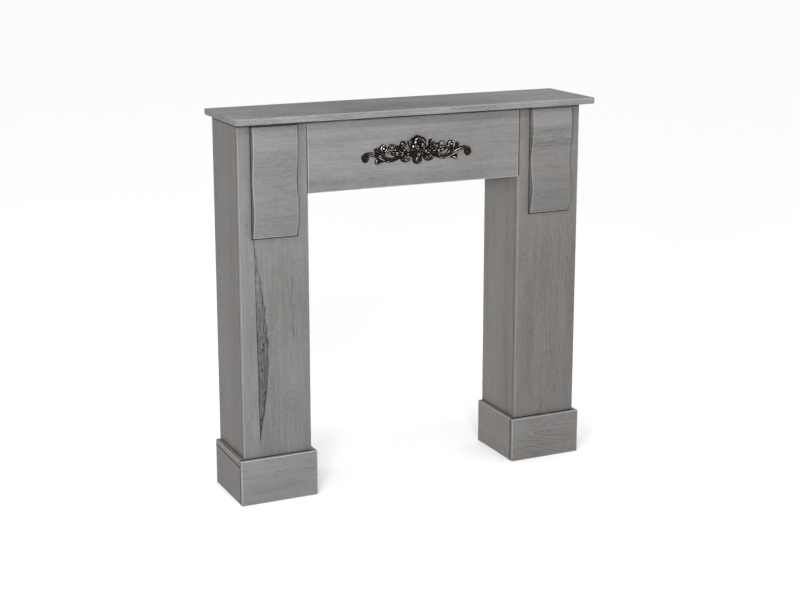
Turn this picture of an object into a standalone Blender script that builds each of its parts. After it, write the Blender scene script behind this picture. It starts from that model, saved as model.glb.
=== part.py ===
"""Fireplace mantel surround of grey-washed boards: a top shelf on two boxed legs with plinths,
a frieze board with a cast onlay between them, a waved corbel on each leg, and an open back.

Metres, +Z up, +X to the right as one faces the mantel, front towards -Y.
The origin is on the floor, under the middle of the shelf.
"""

import math

import bmesh
import bpy
from mathutils import Matrix, Vector

# Driving dimensions, in metres.
WIDTH = 1.000
DEPTH = 0.236
HEIGHT = 0.990
SHELF_THICKNESS = 0.016
SHELF_FRONT_OVERHANG = 0.050
SHELF_CORNER_RADIUS = 0.011
SHELF_ROUND_OVER = 0.0025
BOARD_THICKNESS = 0.012
LEGS_OVERALL = 0.960
LEG_WIDTH = 0.182
PLINTH_HEIGHT = 0.119
PLINTH_PROUD = 0.012
FRIEZE_HEIGHT = 0.186
FRIEZE_SEAM = 0.0005
GAP = 0.0003
ARRIS = 0.0008

# Corbels: (height above the corbel's foot, thickness) where the wave turns; it ends inside both ends.
CORBEL_WIDTH = 0.115
CORBEL_HEIGHT = 0.286
CORBEL_WAVE = ((-0.022, 0.006), (0.062, 0.0195), (0.140, 0.010), (0.224, 0.0195), (0.330, 0.011))
CORBEL_STEPS = 26

# Hidden frame inside the legs and behind the frieze.
BLOCK_THICKNESS = 0.018
TOP_BLOCK_DEPTH = 0.090
BOTTOM_BLOCK_DEPTH = 0.060
BOTTOM_BLOCK_HEIGHT = 0.030
STRETCHER_HEIGHT = 0.050
STRETCHER_CENTRE = 0.480
RAIL_HEIGHT = 0.060
BATTEN = 0.018
CLEAT_LENGTH = 0.150

# Countersunk wood screws.
SCREW_HEAD_RADIUS = 0.004
SCREW_RADIUS = 0.002
SCREW_POINT = 0.005
SCREW_SIDES = 12
COUNTERSINK_RELIEF = 0.002
SHELF_SCREW_LENGTH = 0.028
SHELF_SCREW_SPREAD = 0.045
BATTEN_SCREW_SPREAD = 0.200
CORBEL_SCREW_LENGTH = 0.022
CORBEL_SCREW_HEIGHTS = (0.066, 0.220)
CLEAT_SCREW_LENGTH = 0.026
CLEAT_SCREW_HEIGHTS = (0.845, 0.915)
RAIL_SCREW_LENGTH = 0.035
RAIL_SCREW_HEIGHTS = (0.930, 0.960)
ONLAY_SCREW_LENGTH = 0.018
ONLAY_SCREW_RADIUS = 0.0012
ONLAY_SCREW_HEAD_RADIUS = 0.0028
ONLAY_SCREW_PLACES = (("left", -0.014), ("right", 0.016))
ONLAY_SCREW_RISE = 0.006

# Onlay: its centre on the frieze, and the depth of the block that trims its back flat.
ONLAY_CENTRE = Vector((0.0015, 0.0, 0.880))
ONLAY_BED_DEPTH = 0.040

# Onlay shapes, in millimetres from its centre. Lumps: (x, z, (radius across, radius out, radius up)).
MM = 0.001
LUMP_OUT = 0.8
LUMP_MERIDIANS = 12
LUMP_PARALLELS = 7
ROSE = (1, 11, (24, 14, 23))
MIDDLE_LUMPS = {
    "rose_throat": (0, -10, (24, 10, 14)),
    "bud_middle": (0.5, -26, (11, 9, 11.5)),
}
SIDE_LUMPS = {
    "bud": (31.5, -20, (13, 9, 11)),
    "acanthus": (42, 2, (24, 9, 16)),
    "berry": (41, 14, (8, 9, 7.5)),
    "leaf_inner": (68, 3, (18, 7, 12)),
    "leaf_crest": (94, 5, (14, 7, 10.5)),
    "leaf_tip": (110, 0, (13, 5, 6)),
    "scroll_ball": (143.5, -15.5, (8.5, 7, 8.5)),
}
# Stems: a radius, and a route of (x, z, share of that radius). The scroll's route starts on an arc.
STEM_SINK = 0.35
SCROLL_RADIUS = 5.0
SCROLL_ARC = {
    "centre": (138, -16),
    "radius": 13,
    "start": -20,
    "end": 90,
    "share_start": 0.9,
    "share_end": 1.0,
}
SCROLL_TAIL = (
    (128, -4.5, 1.0),
    (116, -9, 1.05),
    (104, -15, 1.1),
    (92, -21, 1.1),
    (76, -24.5, 1.0),
    (58, -23, 0.9),
    (42, -17, 0.8),
)
CURL_RADIUS = 4.0
CURL_ROUTE = ((117, -22, 0.7), (113, -27, 0.9), (104, -27.5, 1.0), (88, -24, 1.0))

# Angles over which an edge is rounded, and over which a smooth surface stays sharp.
ROUNDED_ANGLE = math.radians(40)
SHARP_ANGLE = math.radians(35)
WELD = 0.00001
UP = Vector((0, 0, 1))
FORWARD = Vector((0, -1, 0))

# Derived places.
SHELF_UNDER = HEIGHT - SHELF_THICKNESS
BACK = DEPTH / 2
LEG_FRONT = -BACK + SHELF_FRONT_OVERHANG
LEG_OUTER = LEGS_OVERALL / 2
LEG_INNER = LEG_OUTER - LEG_WIDTH
LEG_CENTRE = LEG_OUTER - LEG_WIDTH / 2
BOARD_BACK = LEG_FRONT + BOARD_THICKNESS
TOP = SHELF_UNDER - GAP
SIDES = (("left", -1), ("right", 1))

for old in list(bpy.data.objects):
    bpy.data.objects.remove(old, do_unlink=True)

PARTS = bpy.data.collections.new("fireplace_mantel")
CUTTERS = bpy.data.collections.new("mantel_cutters")
for collection in (PARTS, CUTTERS):
    bpy.context.scene.collection.children.link(collection)
CUTTERS.hide_render = True


def material(name, colour, roughness, metallic=0.0):
    """A Principled material with one colour."""
    made = bpy.data.materials.new(name)
    made.use_nodes = True
    shader = made.node_tree.nodes["Principled BSDF"]
    shader.inputs["Base Color"].default_value = (*colour, 1.0)
    shader.inputs["Roughness"].default_value = roughness
    shader.inputs["Metallic"].default_value = metallic
    made.diffuse_color = (*colour, 1.0)
    return made


WASHED_WOOD = material("washed_wood", (0.166, 0.164, 0.161), 0.60)
BARE_WOOD = material("bare_wood", (0.52, 0.41, 0.29), 0.75)
CAST_BROWN = material("cast_brown", (0.035, 0.022, 0.018), 0.30)
SCREW_STEEL = material("screw_steel", (0.62, 0.60, 0.56), 0.35, metallic=1.0)


def add_object(name, data, finish, collection=PARTS, location=(0, 0, 0)):
    """Links an object that holds this mesh or curve."""
    made = bpy.data.objects.new(name, data)
    made.location = location
    if finish:
        data.materials.clear()
        data.materials.append(finish)
    collection.objects.link(made)
    if collection is CUTTERS:
        made.hide_render = True
        made.display_type = "WIRE"
    return made


def bevel(obj, width, segments=2):
    """Rounds the sharp edges and leaves a curved face's own facets alone."""
    modifier = obj.modifiers.new("arris", "BEVEL")
    modifier.width = width
    modifier.segments = segments
    modifier.limit_method = "ANGLE"
    modifier.angle_limit = ROUNDED_ANGLE


def board(name, low, high, finish=WASHED_WOOD, arris=ARRIS, segments=2):
    """A board between two corners, placed at its centre."""
    low, high = Vector(low), Vector(high)
    shape = bmesh.new()
    bmesh.ops.create_cube(shape, size=1.0)
    bmesh.ops.scale(shape, vec=high - low, verts=shape.verts)
    mesh = bpy.data.meshes.new(name)
    shape.to_mesh(mesh)
    shape.free()
    made = add_object(name, mesh, finish, location=(low + high) / 2)
    bevel(made, arris, segments)
    return made


def mirrored(side, inner, outer):
    """The lower and upper x of a span given by its distances from the middle."""
    return (inner, outer) if side > 0 else (-outer, -inner)


def smooth_sides(mesh):
    mesh.shade_smooth()
    mesh.set_sharp_from_angle(angle=SHARP_ANGLE)


def mesh_from_curve(curve_object, name, finish, collection=PARTS):
    """Makes a curve object into a welded mesh object in the same place."""
    bpy.context.view_layer.update()
    graph = bpy.context.evaluated_depsgraph_get()
    mesh = bpy.data.meshes.new_from_object(curve_object.evaluated_get(graph))
    shape = bmesh.new()
    shape.from_mesh(mesh)
    bmesh.ops.remove_doubles(shape, verts=shape.verts, dist=WELD)
    bmesh.ops.recalc_face_normals(shape, faces=shape.faces)
    shape.to_mesh(mesh)
    shape.free()
    place = curve_object.matrix_world.copy()
    bpy.data.objects.remove(curve_object, do_unlink=True)
    made = add_object(name, mesh, finish, collection)
    made.matrix_world = place
    return made


# Shelf, frieze and legs -------------------------------------------------------------------------


def make_shelf():
    """The top board: its front corners are rounded in plan, and all its edges are eased."""
    size = Vector((WIDTH, DEPTH, SHELF_THICKNESS))
    shape = bmesh.new()
    bmesh.ops.create_cube(shape, size=1.0)
    bmesh.ops.scale(shape, vec=size, verts=shape.verts)
    front_corners = []
    for edge in shape.edges:
        first, second = (vert.co for vert in edge.verts)
        if max(first.y, second.y) < 0 and first.z != second.z:
            front_corners.append(edge)
    bmesh.ops.bevel(
        shape, geom=front_corners, offset=SHELF_CORNER_RADIUS, segments=6, profile=0.5, affect="EDGES"
    )
    mesh = bpy.data.meshes.new("shelf_board")
    shape.to_mesh(mesh)
    shape.free()
    shelf = add_object("shelf_board", mesh, WASHED_WOOD, location=(0, 0, HEIGHT - SHELF_THICKNESS / 2))
    bevel(shelf, SHELF_ROUND_OVER, segments=3)
    return shelf


def make_leg(label, side):
    """The front board laps both side boards' edges; the back is open."""
    front_x = mirrored(side, LEG_INNER, LEG_OUTER)
    front = board(f"{label}_leg_front", (front_x[0], LEG_FRONT, 0), (front_x[1], BOARD_BACK, TOP))
    side_boards = {}
    for place, near in (("outer", LEG_OUTER - BOARD_THICKNESS), ("inner", LEG_INNER)):
        low_x, high_x = mirrored(side, near, near + BOARD_THICKNESS)
        side_boards[place] = board(
            f"{label}_leg_{place}_side", (low_x, BOARD_BACK + GAP, 0), (high_x, BACK, TOP)
        )
    return front, side_boards["inner"]


def make_plinth(label, side):
    """Three boards round the foot of a leg; the front one laps the ends of the other two."""
    proud_x = mirrored(side, LEG_INNER - PLINTH_PROUD, LEG_OUTER + PLINTH_PROUD)
    board(
        f"{label}_plinth_front",
        (proud_x[0], LEG_FRONT - PLINTH_PROUD, 0),
        (proud_x[1], LEG_FRONT - GAP, PLINTH_HEIGHT),
    )
    spans = {
        "outer": (LEG_OUTER + GAP, LEG_OUTER + PLINTH_PROUD),
        "inner": (LEG_INNER - PLINTH_PROUD, LEG_INNER - GAP),
    }
    for place, span in spans.items():
        low_x, high_x = mirrored(side, *span)
        board(f"{label}_plinth_{place}", (low_x, LEG_FRONT, 0), (high_x, BACK, PLINTH_HEIGHT))


def corbel_thickness(height):
    """Thickness at a height above the corbel's foot: half cosine waves between the turning points."""
    for (low, thick_low), (high, thick_high) in zip(CORBEL_WAVE, CORBEL_WAVE[1:]):
        if low <= height <= high:
            part = (1 - math.cos(math.pi * (height - low) / (high - low))) / 2
            return thick_low + part * (thick_high - thick_low)
    raise ValueError("height is outside the corbel's wave")


def make_corbel(label, side):
    """A block with a waved front, the same across its width: a side profile, extruded."""
    outline = [(0.0, 0.0)]
    for step in range(CORBEL_STEPS + 1):
        height = CORBEL_HEIGHT * step / CORBEL_STEPS
        outline.append((corbel_thickness(height), height))
    outline.append((0.0, CORBEL_HEIGHT))
    curve = bpy.data.curves.new(f"{label}_corbel", "CURVE")
    curve.dimensions = "2D"
    curve.fill_mode = "BOTH"
    curve.extrude = CORBEL_WIDTH / 2
    spline = curve.splines.new("POLY")
    spline.points.add(len(outline) - 1)
    for point, (out, up) in zip(spline.points, outline):
        point.co = (out, up, 0, 1)
    spline.use_cyclic_u = True
    profile = add_object(f"{label}_corbel_profile", curve, None)
    # The profile's x runs out from the leg (-Y) and its y runs up (+Z).
    profile.rotation_euler = Matrix(((0, 0, -1), (-1, 0, 0), (0, 1, 0))).to_euler()
    profile.location = (side * LEG_CENTRE, LEG_FRONT - GAP, TOP - CORBEL_HEIGHT)
    corbel = mesh_from_curve(profile, f"{label}_corbel", WASHED_WOOD)
    smooth_sides(corbel.data)
    bevel(corbel, ARRIS, segments=2)
    return corbel


def make_frieze():
    """The board between the legs; a fine seam stays open at each end."""
    end = LEG_INNER - FRIEZE_SEAM
    low_z = SHELF_UNDER - FRIEZE_HEIGHT
    return board("frieze_board", (-end, LEG_FRONT, low_z), (end, BOARD_BACK, TOP))


# Hidden frame -----------------------------------------------------------------------------------


def make_leg_frame(label, side):
    """Top block, bottom block and back stretcher inside a leg."""
    inside = mirrored(side, LEG_INNER + BOARD_THICKNESS + GAP, LEG_OUTER - BOARD_THICKNESS - GAP)
    front = BOARD_BACK + GAP
    top_block = board(
        f"{label}_top_block",
        (inside[0], front, TOP - BLOCK_THICKNESS),
        (inside[1], front + TOP_BLOCK_DEPTH, TOP),
        BARE_WOOD,
        segments=1,
    )
    board(
        f"{label}_bottom_block",
        (inside[0], front, BOTTOM_BLOCK_HEIGHT),
        (inside[1], front + BOTTOM_BLOCK_DEPTH, BOTTOM_BLOCK_HEIGHT + BLOCK_THICKNESS),
        BARE_WOOD,
        segments=1,
    )
    board(
        f"{label}_back_stretcher",
        (inside[0], BACK - BOARD_THICKNESS, STRETCHER_CENTRE - STRETCHER_HEIGHT / 2),
        (inside[1], BACK, STRETCHER_CENTRE + STRETCHER_HEIGHT / 2),
        BARE_WOOD,
        segments=1,
    )
    return top_block


def make_rear_rail():
    """The rail under the back of the shelf, between the legs."""
    end = LEG_INNER - GAP
    return board(
        "rear_rail",
        (-end, BACK - BOARD_THICKNESS, TOP - RAIL_HEIGHT),
        (end, BACK, TOP),
        BARE_WOOD,
        segments=1,
    )


def make_shelf_batten():
    """The batten in the corner between the frieze's back and the shelf."""
    end = LEG_INNER - GAP
    front = BOARD_BACK + GAP
    return board(
        "shelf_batten", (-end, front, TOP - BATTEN), (end, front + BATTEN, TOP), BARE_WOOD, segments=1
    )


def make_frieze_cleat(label, side):
    """The upright cleat in the corner between the frieze's back and a leg."""
    low_x, high_x = mirrored(side, LEG_INNER - GAP - BATTEN, LEG_INNER - GAP)
    front = BOARD_BACK + GAP
    high_z = TOP - BATTEN - 2 * GAP
    return board(
        f"{label}_frieze_cleat",
        (low_x, front, high_z - CLEAT_LENGTH),
        (high_x, front + BATTEN, high_z),
        BARE_WOOD,
        segments=1,
    )


# Screws -----------------------------------------------------------------------------------------


def turned(name, outline):
    """A mesh with one edge chain, from (radius, height) points that run down the outer side."""
    mesh = bpy.data.meshes.new(name)
    chain = [(radius, 0, height) for radius, height in outline]
    mesh.from_pydata(chain, [(i, i + 1) for i in range(len(chain) - 1)], [])
    return mesh


def spin(obj):
    modifier = obj.modifiers.new("turn", "SCREW")
    modifier.angle = math.tau
    modifier.steps = modifier.render_steps = SCREW_SIDES
    modifier.use_merge_vertices = True
    modifier.merge_threshold = WELD
    modifier.use_smooth_shade = True


def fasten(name, head, direction, length, through, radius=SCREW_RADIUS, head_radius=SCREW_HEAD_RADIUS):
    """A countersunk screw with its head's face at a point, and its hole in each board it goes through."""
    rotation = (-Vector(direction)).to_track_quat("Z", "Y").to_euler()
    sink = head_radius - radius
    screw = add_object(
        name,
        turned(
            name,
            (
                (0, 0),
                (head_radius, 0),
                (radius, -sink),
                (radius, SCREW_POINT - length),
                (0, -length),
            ),
        ),
        SCREW_STEEL,
        location=head,
    )
    wide, deep = head_radius + GAP, radius + GAP
    hole = add_object(
        f"{name}_hole",
        turned(
            f"{name}_hole",
            (
                (0, COUNTERSINK_RELIEF),
                (wide, COUNTERSINK_RELIEF),
                (wide, 0),
                (deep, -sink),
                (deep, SCREW_POINT - length),
                (0, -length - 2 * GAP),
            ),
        ),
        None,
        CUTTERS,
        location=head,
    )
    for made in (screw, hole):
        made.rotation_euler = rotation
        spin(made)
    for piece in through:
        cut = piece.modifiers.new(f"hole_{name}", "BOOLEAN")
        cut.operation = "DIFFERENCE"
        cut.object = hole
        cut.solver = "EXACT"


# Onlay ------------------------------------------------------------------------------------------


def onlay_point(x, z, out=0.0):
    """A point of the onlay, in millimetres from its centre and out from the frieze."""
    face = Vector((ONLAY_CENTRE.x, LEG_FRONT - GAP, ONLAY_CENTRE.z))
    return face + Vector((x, -out, z)) * MM


def onlay_lump(name, x, z, radii):
    """A flattened ball."""
    shape = bmesh.new()
    bmesh.ops.create_uvsphere(shape, u_segments=LUMP_MERIDIANS, v_segments=LUMP_PARALLELS, radius=1.0)
    bmesh.ops.scale(shape, vec=Vector(radii) * MM, verts=shape.verts)
    mesh = bpy.data.meshes.new(name)
    shape.to_mesh(mesh)
    shape.free()
    return add_object(name, mesh, None, CUTTERS, location=onlay_point(x, z, LUMP_OUT))


def onlay_stem(name, route, radius, side):
    """A round stem along a route, partly sunk in the frieze's face."""
    curve = bpy.data.curves.new(name, "CURVE")
    curve.dimensions = "3D"
    curve.bevel_depth = radius * MM
    curve.bevel_resolution = 2
    curve.use_fill_caps = True
    spline = curve.splines.new("POLY")
    spline.points.add(len(route) - 1)
    for point, (x, z, share) in zip(spline.points, route):
        point.co = (*onlay_point(side * x, z, radius * STEM_SINK), 1)
        point.radius = share
    return mesh_from_curve(add_object(f"{name}_route", curve, None, CUTTERS), name, None, CUTTERS)


def arc(centre, radius, start, end, share_start, share_end, steps=7):
    """Points of a round stretch of a stem, angles in degrees anticlockwise from +X."""
    points = []
    for step in range(steps + 1):
        part = step / steps
        angle = math.radians(start + (end - start) * part)
        across = centre[0] + radius * math.cos(angle)
        up = centre[1] + radius * math.sin(angle)
        points.append((across, up, share_start + (share_end - share_start) * part))
    return points


def make_onlay():
    """The cast scroll-and-rose onlay as one body with a flat back."""
    onlay = onlay_lump("carved_onlay", *ROSE)
    onlay.data.materials.append(CAST_BROWN)
    CUTTERS.objects.unlink(onlay)
    PARTS.objects.link(onlay)
    onlay.hide_render = False
    onlay.display_type = "TEXTURED"
    lumps = [onlay_lump(name, *shape) for name, shape in MIDDLE_LUMPS.items()]
    scroll_route = (*arc(**SCROLL_ARC), *SCROLL_TAIL)
    for label, side in SIDES:
        for name, (x, z, radii) in SIDE_LUMPS.items():
            lumps.append(onlay_lump(f"{name}_{label}", side * x, z, radii))
        lumps.append(onlay_stem(f"scroll_{label}", scroll_route, SCROLL_RADIUS, side))
        lumps.append(onlay_stem(f"curl_{label}", CURL_ROUTE, CURL_RADIUS, side))
    for lump in lumps:
        join = onlay.modifiers.new(f"join_{lump.name}", "BOOLEAN")
        join.operation = "UNION"
        join.object = lump
        join.solver = "EXACT"
    # A block where the frieze is trims the back of every lump and stem flat.
    bed = bmesh.new()
    bmesh.ops.create_cube(bed, size=1.0)
    bmesh.ops.scale(bed, vec=(2 * LEG_INNER, ONLAY_BED_DEPTH, FRIEZE_HEIGHT), verts=bed.verts)
    mesh = bpy.data.meshes.new("onlay_bed")
    bed.to_mesh(mesh)
    bed.free()
    behind = onlay_point(0, 0) + Vector((0, ONLAY_BED_DEPTH / 2, 0))
    trim = onlay.modifiers.new("flat_back", "BOOLEAN")
    trim.operation = "DIFFERENCE"
    trim.object = add_object("onlay_bed", mesh, None, CUTTERS, location=behind)
    trim.solver = "EXACT"
    return onlay


# Assembly ---------------------------------------------------------------------------------------

shelf_board = make_shelf()
frieze_board = make_frieze()
rear_rail = make_rear_rail()
shelf_batten = make_shelf_batten()
onlay_piece = make_onlay()

for side_label, side_sign in SIDES:
    leg_front, leg_inner_side = make_leg(side_label, side_sign)
    make_plinth(side_label, side_sign)
    corbel_block = make_corbel(side_label, side_sign)
    leg_top_block = make_leg_frame(side_label, side_sign)
    cleat = make_frieze_cleat(side_label, side_sign)
    leg_x = side_sign * LEG_CENTRE

    for number, offset in enumerate((-SHELF_SCREW_SPREAD, SHELF_SCREW_SPREAD), start=1):
        fasten(
            f"{side_label}_shelf_screw_{number}",
            (leg_x + offset, BOARD_BACK + TOP_BLOCK_DEPTH / 2, TOP - BLOCK_THICKNESS),
            UP,
            SHELF_SCREW_LENGTH,
            (leg_top_block, shelf_board),
        )
    for number, height in enumerate(CORBEL_SCREW_HEIGHTS, start=1):
        fasten(
            f"{side_label}_corbel_screw_{number}",
            (leg_x, BOARD_BACK, TOP - CORBEL_HEIGHT + height),
            FORWARD,
            CORBEL_SCREW_LENGTH,
            (leg_front, corbel_block),
        )
    for number, height in enumerate(CLEAT_SCREW_HEIGHTS, start=1):
        fasten(
            f"{side_label}_cleat_screw_{number}",
            (side_sign * (LEG_INNER - GAP - BATTEN), BOARD_BACK + GAP + BATTEN / 2, height),
            (side_sign, 0, 0),
            CLEAT_SCREW_LENGTH,
            (cleat, leg_inner_side),
        )
    for number, height in enumerate(RAIL_SCREW_HEIGHTS, start=1):
        fasten(
            f"{side_label}_rail_screw_{number}",
            (side_sign * (LEG_INNER + BOARD_THICKNESS), BACK - BOARD_THICKNESS / 2, height),
            (-side_sign, 0, 0),
            RAIL_SCREW_LENGTH,
            (leg_inner_side, rear_rail),
        )

for place, x in (("left", -BATTEN_SCREW_SPREAD), ("middle", 0.0), ("right", BATTEN_SCREW_SPREAD)):
    fasten(
        f"batten_screw_{place}",
        (x, BOARD_BACK + GAP + BATTEN / 2, TOP - BATTEN),
        UP,
        SHELF_SCREW_LENGTH,
        (shelf_batten, shelf_board),
    )
for place, x in ONLAY_SCREW_PLACES:
    fasten(
        f"onlay_screw_{place}",
        (x, BOARD_BACK, ONLAY_CENTRE.z + ONLAY_SCREW_RISE),
        FORWARD,
        ONLAY_SCREW_LENGTH,
        (frieze_board, onlay_piece),
        ONLAY_SCREW_RADIUS,
        ONLAY_SCREW_HEAD_RADIUS,
    )
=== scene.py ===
"""Looks for the fireplace mantel surround: grey-washed boards, a cast scroll onlay and wood screws.

Metres, +Z up, front towards -Y, as in the CAD frame. Materials and the onlay work in millimetres.
"""

import math

import bmesh
import bpy
import numpy as np
from mathutils import Matrix, Vector


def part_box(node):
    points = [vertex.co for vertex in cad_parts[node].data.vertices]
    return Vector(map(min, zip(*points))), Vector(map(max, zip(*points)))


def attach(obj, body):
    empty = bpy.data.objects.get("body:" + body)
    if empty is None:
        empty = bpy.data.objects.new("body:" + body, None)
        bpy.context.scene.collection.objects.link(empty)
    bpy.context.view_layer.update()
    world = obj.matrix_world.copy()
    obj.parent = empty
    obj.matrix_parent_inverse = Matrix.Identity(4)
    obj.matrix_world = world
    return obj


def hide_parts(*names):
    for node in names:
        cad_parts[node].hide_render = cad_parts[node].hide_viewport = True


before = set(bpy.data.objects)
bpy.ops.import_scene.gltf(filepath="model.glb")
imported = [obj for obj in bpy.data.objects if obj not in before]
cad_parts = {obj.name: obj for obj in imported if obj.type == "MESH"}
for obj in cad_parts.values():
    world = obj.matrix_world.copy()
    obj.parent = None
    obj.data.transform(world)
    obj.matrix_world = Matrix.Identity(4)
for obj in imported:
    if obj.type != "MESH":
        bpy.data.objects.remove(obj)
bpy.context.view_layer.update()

scene = bpy.context.scene
scene.view_settings.view_transform = "Standard"

MM = 0.001
SIDES = (("left", -1), ("right", 1))
LEG_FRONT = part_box("left_leg_front")[0].y


# --- Node trees ---


class Nodes:
    """A material's node tree, with one short call for each kind of node. A value may be a socket."""

    def __init__(self, name):
        self.material = bpy.data.materials.new(name)
        self.material.use_nodes = True
        self.tree = self.material.node_tree
        self.shader = self.tree.nodes["Principled BSDF"]
        self.place = self.add("TexCoord").outputs["Object"]
        self.mm = [self.math("MULTIPLY", axis, 1 / MM) for axis in self.axes(self.place)]

    def add(self, kind, **settings):
        node = self.tree.nodes.new("ShaderNode" + kind)
        for key, value in settings.items():
            setattr(node, key, value)
        return node

    def feed(self, socket, value):
        if isinstance(value, bpy.types.NodeSocket):
            self.tree.links.new(value, socket)
        else:
            socket.default_value = value

    def math(self, operation, *values, clamp=False):
        node = self.add("Math", operation=operation, use_clamp=clamp)
        for socket, value in zip(node.inputs, values):
            self.feed(socket, value)
        return node.outputs[0]

    def sum(self, first, *rest):
        for value in rest:
            first = self.math("ADD", first, value)
        return first

    def times(self, first, *rest):
        for value in rest:
            first = self.math("MULTIPLY", first, value)
        return first

    def minus(self, first, second):
        return self.math("SUBTRACT", first, second)

    def away(self, value, middle):
        """How far a value is from another, either way."""
        return self.math("ABSOLUTE", self.minus(value, middle))

    def less(self, value):
        """What a share leaves of 1."""
        return self.minus(1, value)

    def axes(self, vector):
        node = self.add("SeparateXYZ")
        self.feed(node.inputs[0], vector)
        return node.outputs

    def join(self, x, y, z):
        node = self.add("CombineXYZ")
        for socket, value in zip(node.inputs, (x, y, z)):
            self.feed(socket, value)
        return node.outputs[0]

    def noise(self, vector, scale=1, detail=2, roughness=0.5):
        """Fractal noise about 0, roughly between -1 and 1."""
        node = self.add("TexNoise")
        settings = {"Vector": vector, "Scale": scale, "Detail": detail, "Roughness": roughness}
        for key, value in settings.items():
            self.feed(node.inputs[key], value)
        return self.math("MULTIPLY_ADD", node.outputs["Fac"], 2, -1)

    def cells(self, vector):
        """Distance to the nearest of some scattered points."""
        node = self.add("TexVoronoi")
        for key, value in {"Vector": vector, "Scale": 1, "Randomness": 1.0}.items():
            self.feed(node.inputs[key], value)
        return node.outputs["Distance"]

    def step(self, value, low, high):
        """0 below low, 1 above high, smooth between; a falling step has low above high."""
        node = self.add("MapRange", interpolation_type="SMOOTHSTEP")
        ends = (high, low, 1, 0) if low > high else (low, high, 0, 1)
        for socket, number in zip(node.inputs, (value, *ends)):
            self.feed(socket, number)
        return node.outputs[0]

    def mix(self, factor, first, second):
        node = self.add("Mix", data_type="RGBA")
        colours = [socket for socket in node.inputs if socket.type == "RGBA"]
        self.feed(node.inputs["Factor"], factor)
        for socket, colour in zip(colours, (first, second)):
            self.feed(socket, (*colour, 1) if isinstance(colour, tuple) else colour)
        return next(socket for socket in node.outputs if socket.type == "RGBA")

    def scaled(self, colour, factor):
        node = self.add("VectorMath", operation="SCALE")
        self.feed(node.inputs[0], colour)
        self.feed(node.inputs["Scale"], factor)
        return node.outputs[0]

    def shade(self, name, value):
        """Sets one of the shader's inputs."""
        self.feed(self.shader.inputs[name], value)

    def bump(self, height, distance):
        node = self.add("Bump")
        self.feed(node.inputs["Height"], height)
        self.feed(node.inputs["Distance"], distance)
        self.shade("Normal", node.outputs[0])


# --- Wood ---
# Pitches are per millimetre, and darkness is a share of the wash's own brightness.

WASH_GREY = (0.166, 0.165, 0.1635)
WASH_WARM = (0.174, 0.159, 0.146)
WASH_ROUGHNESS = 0.60
WASH_SPECULAR = 0.35
GRAIN_BUMP = 0.00012
SEED_SHIFT = 1317
# Patterns along the fibres: pitch along and across them, detail, roughness and darkness.
FIBRE_PATTERNS = {
    "clouds": (0.0045, 0.011, 2, 0.5, 0.13),
    "bands": (0.0020, 0.040, 2, 0.5, 0.16),
    "streaks": (0.010, 0.17, 3, 0.6, 0.15),
    "lines": (0.022, 0.42, 3, 0.7, 0.24),
    "fibres": (0.05, 1.3, 3, 0.65, 0.16),
    "mottle": (0.075, 0.22, 3, 0.7, 0.23),
    "speckle": (0.22, 0.55, 2, 0.7, 0.24),
}
DASH_PITCH = (0.050, 0.42)
PORE_PITCH = (0.16, 1.3)
LATE_DARKNESS = 0.10
DASH_DARKNESS = 0.20
PORE_DARKNESS = 0.24
# Painted shade on a waved block's left side.
SIDE_SHADE_DARKNESS = 0.16
# Dark joints, and the painted shade lines under the shelf and round a block.
SEAM_AND_SHADE_DARKNESS = 0.85
# The softer, wider painted shade round a block.
CONTACT_DARKNESS = 0.10
# Distances from an edge, in millimetres, between which each of these fades out.
ARRIS_FADE = (2.8, 1)
WAVED_ARRIS_FADE = (2.1, 1.2)
CONTACT_LINE_FADE = (6.8, 5.2)
CONTACT_FADE = (20, 5)
# The contact line is narrower on a block's left and under it.
CONTACT_LEFT = 3.9
CONTACT_UNDER = 1.8


class Board:
    """Distances in millimetres from a board's middle and to its faces, and noise along its fibres."""

    def __init__(self, n, node_name, grain, face, seed):
        low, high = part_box(node_name)
        middle, half = (low + high) / 2 / MM, (high - low) / 2 / MM
        across = next(axis for axis in "xyz" if axis not in (grain, face))
        order = ["xyz".index(axis) for axis in (grain, across, face)]
        places = [n.minus(n.mm[i], middle[i]) for i in order]
        self.n, self.seed = n, seed
        self.along, self.across, self.depth = places
        self.to_faces = [
            n.minus(half[i], n.math("ABSOLUTE", place)) for i, place in zip(order, places)
        ]
        self.far = n.math("ADD", self.along, SEED_SHIFT * seed)

    def stretched(self, lengthwise, crosswise):
        pitches = ((self.far, lengthwise), (self.across, crosswise), (self.depth, crosswise))
        return self.n.join(*(self.n.times(place, pitch) for place, pitch in pitches))

    def noise(self, lengthwise, crosswise, **settings):
        return self.n.noise(self.stretched(lengthwise, crosswise), **settings)


def late_wood(n, board, ring, heart):
    """1 in the dark part of each growth ring, round a heart that wanders along the board."""
    sway = n.noise(n.join(n.times(board.far, 0.0030), 31 * board.seed, 0))
    u = n.sum(board.across, heart[0], n.times(sway, 30))
    v = n.sum(board.depth, heart[1], n.times(sway, 12))
    radius = n.math("SQRT", n.sum(n.times(u, u), n.times(v, v)))
    radius = n.sum(radius, n.times(board.noise(0.007, 0.02, detail=3), 14))
    turn = n.math("FRACT", n.math("DIVIDE", radius, ring))
    clear = n.step(board.noise(0.006, 0.012), -0.35, 0.35)
    return n.times(n.step(turn, 0.35, 0.93), n.step(turn, 1, 0.94), clear)


def arris_wear_and_sheen(n, board, streaks):
    """Paler along each edge, partly wash rubbed thin and partly painted highlight where the edge catches
    light: the second least distance to a face is that to an edge.
    """
    first, second, third = board.to_faces
    near, far = n.math("MINIMUM", first, second), n.math("MAXIMUM", first, second)
    arris = n.math("MAXIMUM", near, n.math("MINIMUM", far, third))
    return n.step(n.sum(arris, n.times(streaks, 0.7)), *ARRIS_FADE)


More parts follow.
